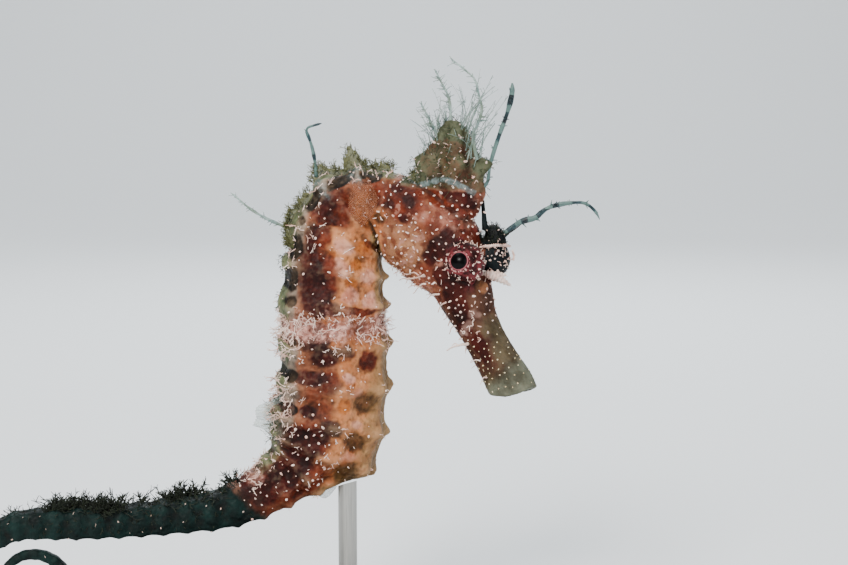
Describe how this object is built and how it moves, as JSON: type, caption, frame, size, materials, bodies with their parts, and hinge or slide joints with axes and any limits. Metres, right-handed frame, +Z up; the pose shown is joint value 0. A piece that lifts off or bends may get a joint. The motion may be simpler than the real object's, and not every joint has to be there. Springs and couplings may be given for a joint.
{
  "type": "seahorse",
  "caption": "Still life-size seahorse with a tall coronet, skin filaments and a curled tail, on a round-ended display stand with a rod.",
  "frame": {"origin": "Centre of the stand's flat underside.", "axes": "+Z up; +X the way the snout points; -Y the animal's right side, which faces the viewer."},
  "size_m": [0.0822, 0.044, 0.0838],
  "materials": {
    "body_skin": "matt skin, red-brown, peach and cream with fine white dots",
    "eye": "wet and glossy, a dark pupil in a maroon iris",
    "fin": "thin clear membrane with fine rays",
    "skin_flap": "soft translucent olive skin",
    "snout_skin": "matt skin, brown fading to translucent olive beige",
    "stand_base": "satin black",
    "stand_rod": "fine brushed",
    "tail_skin": "matt skin, nearly black-green"
  },
  "bodies": {
    "root": {"anal_fin": "fin", "back_feeler": "skin_flap", "brow_feeler": "skin_flap", "coronet": "skin_flap", "crown_feeler_1": "skin_flap", "crown_feeler_2": "skin_flap", "crown_feeler_3": "skin_flap", "crown_streamer": "skin_flap", "dorsal_fin": "fin", "eye_left": "eye", "eye_right": "eye", "head": "body_skin", "mane_front": "skin_flap", "mane_middle": "skin_flap", "mane_rear": "skin_flap", "neck": "body_skin", "neck_feeler": "skin_flap", "pectoral_fin_left": "fin", "pectoral_fin_right": "fin", "snout": "snout_skin", "stand_base": "stand_base", "stand_rod": "stand_rod", "tail_1": "tail_skin", "tail_2": "tail_skin", "tail_3": "tail_skin", "tail_4": "tail_skin", "tail_5": "tail_skin", "tail_6": "tail_skin", "tail_7": "tail_skin", "tail_8": "tail_skin", "trunk_lower": "body_skin", "trunk_upper": "body_skin"}
  },
  "joints": []
}
